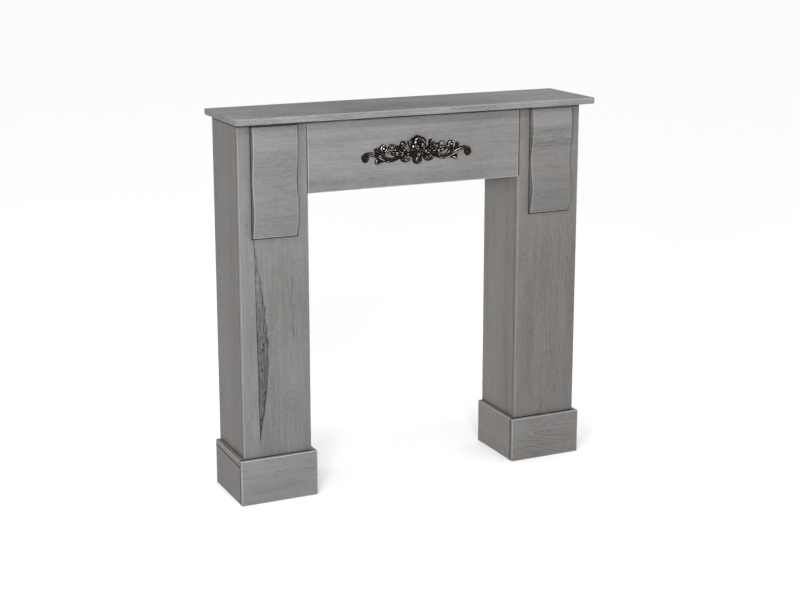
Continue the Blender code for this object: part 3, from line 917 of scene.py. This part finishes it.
def model_onlay_middle(relief):
    """The rose, the leaves that hold it, and the bulb below."""
    strip, dome, rose = relief.strip, relief.dome, relief.rose
    petals = ((24, 7, 0.3, 3.6, 9.2), (18, 5, 1, 6, 12), (12, 4, 0.35, 8.2, 13.8), (6.6, 2, 1.2, 10.2, 14.4))
    rose(0.6, 12, petals)
    # Rolled petals stand over the rose's left, its heart and its foot.
    dome(-8.6, 17.6, 6.6, 5.4, 14, full=0.2)
    dome(8.4, 9.6, 5, 6.4, 14.6, full=0.2)
    dome(-15, 7.6, 4, 6.6, 12.4, full=0.25)
    dome(6, -1.8, 6.4, 4.2, 13.4, full=0.2)
    # The throat below the rose, its three leaves, and the bulb with its curl.
    dome(0, -10, 22, 13, 7, rib=0.3, pitch=6.5, lean=90, full=0.35)
    strip([(-5, -4, 4, 9), (-8, -11, 3.6, 9.4), (-11, -18, 0.8, 6)], channel)
    strip([(7, -4, 4, 9.4), (10, -11, 3.6, 9.6), (15, -15, 1.2, 7)], channel)
    strip([(1, -6, 4, 9), (1, -14, 4.4, 9.6), (1, -21, 2.6, 8.6)], channel)
    dome(0.2, -26.4, 13, 11.2, 8.4, full=0.3)
    strip(ring_route(0.8, -27.4, (7.6, 2.4), 100, 520, 2, 9.4, 1.3, 10.2, steps=18), bead, steps=3)


def store_relief(mesh):
    """Keeps how far each point stands above the average round it: rims are over 0, hollows under."""
    points = np.empty((len(mesh.vertices), 3), np.float32)
    mesh.vertices.foreach_get("co", points.ravel())
    points /= MM
    out = LEG_FRONT / MM - points[:, 1]
    flat = points[:, (0, 2)]
    places = (flat - flat.min(axis=0)) / RELIEF_CELL + RELIEF_BLURS
    cells = places.astype(int)
    average = np.zeros((2, *(cells.max(axis=0) + RELIEF_BLURS + 1)))
    np.maximum.at(average[0], tuple(cells.T), out)
    average[1] = average[0] > 0
    for _ in range(RELIEF_BLURS):
        near = [np.roll(average, step, axis) for axis in (1, 2) for step in (-1, 1)]
        average = (average + sum(near)) / 5
    average = average[0] / np.maximum(average[1], 0.01)
    corner = np.floor(places - 0.5).astype(int)
    part = places - 0.5 - corner
    ground = np.zeros(len(out))
    for i, j in ((0, 0), (0, 1), (1, 0), (1, 1)):
        weight = np.abs(1 - i - part[:, 0]) * np.abs(1 - j - part[:, 1])
        ground += weight * average[corner[:, 0] + i, corner[:, 1] + j]
    mesh.attributes.new(RELIEF, "FLOAT", "POINT").data.foreach_set("value", out - ground)


def make_onlay(material):
    """The cast onlay: its lumps melted into one surface, with a flat back on the frieze."""
    bm = bmesh.new()
    for _, sign in SIDES:
        model_onlay_side(Relief(bm, sign))
    model_onlay_middle(Relief(bm, 1))
    bmesh.ops.recalc_face_normals(bm, faces=bm.faces)
    mesh = bpy.data.meshes.new("onlay_lumps")
    bm.to_mesh(mesh)
    bm.free()
    lumps = bpy.data.objects.new("onlay_lumps", mesh)
    scene.collection.objects.link(lumps)
    melt = lumps.modifiers.new("melt", "REMESH")
    melt.mode = "VOXEL"
    melt.voxel_size = ONLAY_VOXEL
    soften = lumps.modifiers.new("soften", "SMOOTH")
    soften.factor = 0.5
    soften.iterations = 3
    graph = bpy.context.evaluated_depsgraph_get()
    melted = bpy.data.meshes.new_from_object(lumps.evaluated_get(graph))
    bpy.data.objects.remove(lumps)
    bm = bmesh.new()
    bm.from_mesh(melted)
    back = LEG_FRONT - ONLAY_STAND_OFF * MM
    for vert in bm.verts:
        if vert.co.y > back - 0.1 * MM:
            vert.co.y = back
    onlay = piece("cast_scroll_onlay", bm, material, "carved_onlay", 60)
    store_relief(onlay.data)


# --- Screws ---

# Which way each kind of screw points, with +X outward to its side, and its shank's radius.
SCREW_KINDS = {
    "shelf": ((0, 0, 1), 0.0020),
    "batten": ((0, 0, 1), 0.0020),
    "corbel": ((0, -1, 0), 0.0020),
    "onlay": ((0, -1, 0), 0.0012),
    "cleat": ((1, 0, 0), 0.0020),
    "rail": ((-1, 0, 0), 0.0020),
}
THREAD_PITCH = 0.0018
THREAD_DEPTH = 0.00045
THREAD_ROWS = 6
THREAD_EDGE = 3.2
SMOOTH_SHARE = 0.35
SMOOTH_DEGREES = 35
POINT_RADII = 2.2
TAPER_ROWS = 8
SCREW_SPOKES = 48
FACE_RINGS = 14
FACE_EASE = 0.0002
# The cross recess, as shares of the head's radius.
RECESS_REACH = 0.62
RECESS_HALF = 0.13
RECESS_DEPTH = 0.45
RECESS_SLOPE = 0.6


def recess_depth(x, y, head_radius):
    """How deep the cross recess is at a point of the head's face."""
    arm, off = (value / head_radius for value in sorted((abs(x), abs(y)), reverse=True))
    if arm > RECESS_REACH or off > RECESS_HALF:
        return 0.0
    return RECESS_DEPTH * head_radius * (1 - RECESS_SLOPE * arm / RECESS_REACH)


def screw_profile(length, head_radius, radius):
    """(depth below the face, radius, whether it is threaded) down the outside of a screw."""
    shoulder = 3 * FACE_EASE + head_radius - radius
    smooth_end = max(SMOOTH_SHARE * length, shoulder + FACE_EASE)
    point = length - POINT_RADII * radius
    rows = [
        (FACE_EASE, head_radius, False),
        (3 * FACE_EASE, head_radius, False),
        (shoulder, radius, False),
        (smooth_end, radius, False),
    ]
    threads = round(THREAD_ROWS * (point - smooth_end) / THREAD_PITCH)
    for row in range(1, threads + 1):
        rows.append((smooth_end + (point - smooth_end) * row / threads, radius, True))
    for row in range(1, TAPER_ROWS + 1):
        part = row / (TAPER_ROWS + 0.5)
        rows.append((point + (length - point) * part, radius * (1 - part**1.3), row < TAPER_ROWS - 2))
    return rows


def make_screw(node_name, material):
    """A countersunk screw with a cross recess and a spiral thread, in the place of its CAD solid."""
    kind = node_name.split("_screw")[0].split("_")[-1]
    (outward, forward, up), radius = SCREW_KINDS[kind]
    toward = Vector((-outward if node_name.startswith("left") else outward, forward, up))
    low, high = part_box(node_name)
    size = sorted(high - low)
    head_radius, length = size[0] / 2, size[2]
    angles = [math.tau * spoke / SCREW_SPOKES for spoke in range(SCREW_SPOKES)]
    bm = bmesh.new()
    rings = []
    for ring in range(1, FACE_RINGS + 1):
        reach = (head_radius - FACE_EASE) * ring / FACE_RINGS
        points = [(reach * math.cos(angle), reach * math.sin(angle)) for angle in angles]
        rings.append([bm.verts.new((x, y, -recess_depth(x, y, head_radius))) for x, y in points])
    for depth, wide, threaded in screw_profile(length, head_radius, radius):
        row = []
        for angle in angles:
            turn = (depth / THREAD_PITCH - angle / math.tau) % 1.0
            groove = min(1, THREAD_EDGE * min(turn, 1 - turn)) if threaded else 0
            reach = wide - THREAD_DEPTH * groove * wide / radius
            row.append(bm.verts.new((reach * math.cos(angle), reach * math.sin(angle), -depth)))
        rings.append(row)
    middle = bm.verts.new((0, 0, -RECESS_DEPTH * head_radius))
    tip = bm.verts.new((0, 0, -length))
    for i in range(SCREW_SPOKES):
        j = (i + 1) % SCREW_SPOKES
        bm.faces.new((middle, rings[0][i], rings[0][j]))
        bm.faces.new((tip, rings[-1][j], rings[-1][i]))
        for upper, lower in zip(rings, rings[1:]):
            bm.faces.new((upper[i], lower[i], lower[j], upper[j]))
    head = (low + high) / 2 - toward * length / 2
    turned = (-toward).to_track_quat("Z", "Y").to_matrix().to_4x4()
    bmesh.ops.transform(bm, matrix=Matrix.Translation(head) @ turned, verts=bm.verts)
    bmesh.ops.recalc_face_normals(bm, faces=bm.faces)
    piece(f"{node_name}_threaded", bm, material, node_name, SMOOTH_DEGREES)


# --- Camera, light and floor ---

CAMERA_PLACE = (-1.7534, -3.6915, 1.5122)
CAMERA_TURN = 25.229
CAMERA_DIP = 12.897
CAMERA_LENS = 71.96
CAMERA_SHIFT = -0.05
LAMP_TARGET = Vector((0, 0, 0.60))
# Lamps: kind, degrees to the left of straight in front, degrees up, distance, power, and size, in
# metres or for the sun in degrees.
LAMPS = {
    "key": ("AREA", 38, 19, 2.2, 22, 0.50),
    "overhead": ("SUN", 0, 88, 3, 2, 50),
    "left_glint": ("AREA", 66, 34, 2.4, 5, 0.28),
    "high_glint": ("AREA", 10, 38, 2.4, 15, 0.30),
}
# The surround's brightness goes from the third value to the fourth between these two heights.
SURROUND_FADE = (0.02, 0.50, 0.88, 0.36)
FLOOR_RADIUS = 30


def make_camera():
    data = bpy.data.cameras.new("camera")
    data.sensor_width = 36
    data.lens = CAMERA_LENS
    data.shift_y = CAMERA_SHIFT
    camera = bpy.data.objects.new("camera", data)
    camera.location = CAMERA_PLACE
    camera.rotation_euler = (math.radians(90 - CAMERA_DIP), 0, math.radians(-CAMERA_TURN))
    scene.collection.objects.link(camera)
    scene.camera = camera


def add_light(name, kind, azimuth, elevation, distance, power, size):
    """A lamp aimed at the mantel's middle, hidden from the camera."""
    turn, tilt = math.radians(azimuth), math.radians(elevation)
    toward = Vector((-math.sin(turn) * math.cos(tilt), -math.cos(turn) * math.cos(tilt), math.sin(tilt)))
    data = bpy.data.lights.new(name, kind)
    data.energy = power
    if kind == "AREA":
        data.shape = "DISK"
        data.size = size
    else:
        data.angle = math.radians(size)
    light = bpy.data.objects.new(name, data)
    light.location = LAMP_TARGET + toward * distance
    light.rotation_euler = toward.to_track_quat("Z", "Y").to_euler()
    light.visible_camera = False
    scene.collection.objects.link(light)


def make_lights():
    """A pale surround, brighter towards the horizon, and the lamps."""
    world = bpy.data.worlds.new("studio")
    world.use_nodes = True
    nodes, links = world.node_tree.nodes, world.node_tree.links
    place = nodes.new("ShaderNodeTexCoord")
    axes = nodes.new("ShaderNodeSeparateXYZ")
    fade = nodes.new("ShaderNodeMapRange")
    fade.interpolation_type = "SMOOTHSTEP"
    for socket, value in zip(list(fade.inputs)[1:5], SURROUND_FADE):
        socket.default_value = value
    links.new(place.outputs["Generated"], axes.inputs[0])
    links.new(axes.outputs["Z"], fade.inputs[0])
    links.new(fade.outputs[0], nodes["Background"].inputs["Strength"])
    nodes["Background"].inputs["Color"].default_value = (1, 1, 1, 1)
    scene.world = world
    for name, lamp in LAMPS.items():
        add_light(name, *lamp)


def make_floor():
    bm = bmesh.new()
    bmesh.ops.create_circle(bm, cap_ends=True, segments=96, radius=FLOOR_RADIUS)
    mesh = bpy.data.meshes.new("floor")
    bm.to_mesh(mesh)
    bm.free()
    floor = bpy.data.objects.new("floor", mesh)
    scene.collection.objects.link(floor)
    n = Nodes("floor_pale")
    cloud = n.math("MULTIPLY_ADD", n.noise(n.place, scale=3, detail=3), 0.5, 0.5)
    n.shade("Base Color", n.mix(cloud, (0.95, 0.95, 0.95), (0.94, 0.94, 0.94)))
    n.shade("Roughness", 0.9)
    n.shade("Specular IOR Level", 0.1)
    mesh.materials.append(n.material)


# --- Making the scene ---

make_camera()
make_lights()
make_floor()

frieze_low, frieze_high = (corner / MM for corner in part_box("frieze_board"))
plinth_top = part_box("left_plinth_front")[1].z / MM
leg_face = LEG_FRONT / MM
leg_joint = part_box("left_leg_front")[1].y / MM

# Joints that hold stain, and the painted shade under the shelf: axis, place, dark to, clear from, and where
# along another axis they run.
UNDER_SHELF_SHADE = ("z", frieze_high.z, 8.8, 12.5, None)
ON_PLINTH = ("z", plinth_top, 0.8, 2.6, None)
PLINTH_JOINT = ("y", leg_face, 1.6, 4.2, None)
LEG_JOINT = ("y", leg_joint, 0.8, 2.4, None)
FRIEZE_END = (1.8, 4.2, ("z", frieze_low.z, 1000))

# Each board's own look, as settings for wood().
WASHED = {
    "shelf_board": dict(
        grain="x", face="z", seed=1, warm=0.05, tone=0.98, contrast=1.9, sheen_and_wear=0.2, marks=(shelf_tone_and_light,)
    ),
    "left_corbel": dict(
        grain="x", face="y", seed=2, warm=0.15, heart=(20, 60), ring=5, figure=0.6, sheen_and_wear=0.8,
        waved=True, seams_and_shade=[UNDER_SHELF_SHADE], marks=(left_corbel_shade,),
    ),
    "right_corbel": dict(
        grain="x", face="y", seed=4, warm=0.25, heart=(20, 45), ring=5, figure=0.6, sheen_and_wear=0.7,
        waved=True, seams_and_shade=[UNDER_SHELF_SHADE], marks=(cross_bands,),
    ),
    "frieze_board": dict(
        grain="x", face="y", seed=5, warm=0.15, tone=1.12, sheen_and_wear=0.7, seams_and_shade=[UNDER_SHELF_SHADE], marks=(frieze_shade_and_tone,)
    ),
    "left_leg_front": dict(
        grain="z", face="y", seed=6, warm=0.2, tone=0.86, sheen_and_wear=0.4, contact="left_corbel",
        marks=(heartwood_lens, wavy_check, leg_shade_below),
        seams_and_shade=[UNDER_SHELF_SHADE, ON_PLINTH, ("x", frieze_low.x, *FRIEZE_END)],
    ),
    "left_leg_outer_side": dict(
        grain="z", face="x", seed=7, warm=0.55, tone=0.77, marks=(sides_darker_in_front,),
        seams_and_shade=[UNDER_SHELF_SHADE, ON_PLINTH, LEG_JOINT],
    ),
    "left_leg_inner_side": dict(grain="z", face="x", seed=8, warm=0.5, tone=0.9),
    "right_leg_front": dict(
        grain="z", face="y", seed=9, warm=0.5, tone=0.90, sheen_and_wear=0.5, contact="right_corbel",
        marks=(leg_shade_below, right_leg_shade),
        seams_and_shade=[UNDER_SHELF_SHADE, ON_PLINTH, ("x", frieze_high.x, *FRIEZE_END)],
    ),
    "right_leg_outer_side": dict(grain="z", face="x", seed=10, warm=0.6, tone=0.9),
    "right_leg_inner_side": dict(
        grain="z", face="x", seed=11, warm=0.6, tone=0.95, seams_and_shade=[ON_PLINTH, LEG_JOINT],
        marks=(under_frieze_shade, sides_darker_in_front),
    ),
    "left_plinth_front": dict(
        grain="x", face="y", seed=12, warm=0, tone=1.02, sheen_and_wear=0.7, seams_and_shade=[PLINTH_JOINT],
        marks=(plinth_ledge,),
    ),
    "left_plinth_outer": dict(
        grain="y", face="x", seed=13, warm=0.5, tone=0.77, sheen_and_wear=0.7, seams_and_shade=[PLINTH_JOINT],
        marks=(sloping_line_and_strip, plinth_ledge),
    ),
    "left_plinth_inner": dict(grain="y", face="x", seed=14, warm=0.3, marks=(plinth_ledge,)),
    "right_plinth_front": dict(
        grain="x", face="y", seed=15, warm=0.45, tone=0.95, sheen_and_wear=0.7, seams_and_shade=[PLINTH_JOINT],
        marks=(knot_swirl, plinth_ledge),
    ),
    "right_plinth_outer": dict(grain="y", face="x", seed=16, warm=0.5, marks=(plinth_ledge,)),
    "right_plinth_inner": dict(
        grain="y", face="x", seed=17, warm=0.5, tone=1.03, sheen_and_wear=0.7, seams_and_shade=[PLINTH_JOINT],
        marks=(plinth_ledge,),
    ),
}
# The hidden frame is bare softwood.
BARE = dict(grey=(0.60, 0.49, 0.35), brown=(0.47, 0.35, 0.23), ring=6, warm=0.5, sheen_and_wear=0)
BARE_WORDS = ("block", "stretcher", "rear_rail", "batten", "cleat")
BARE_SEED = 30

washed = {name: wood(f"washed_{name}", name, **look) for name, look in WASHED.items()}
RESHAPED = ("shelf_board", "left_corbel", "right_corbel")
make_shelf(washed["shelf_board"])
for side_label, _ in SIDES:
    make_corbel(side_label, washed[f"{side_label}_corbel"])
make_onlay(cast_brown())

steel = screw_steel()
for number, (node_name, node) in enumerate(sorted(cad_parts.items())):
    if "screw" in node_name:
        make_screw(node_name, steel)
    elif any(word in node_name for word in BARE_WORDS):
        grain = "z" if "cleat" in node_name else "x"
        set_material(node, wood(f"bare_{node_name}", node_name, grain, "y", BARE_SEED + number, **BARE))
    elif node_name in washed and node_name not in RESHAPED:
        set_material(node, washed[node_name])
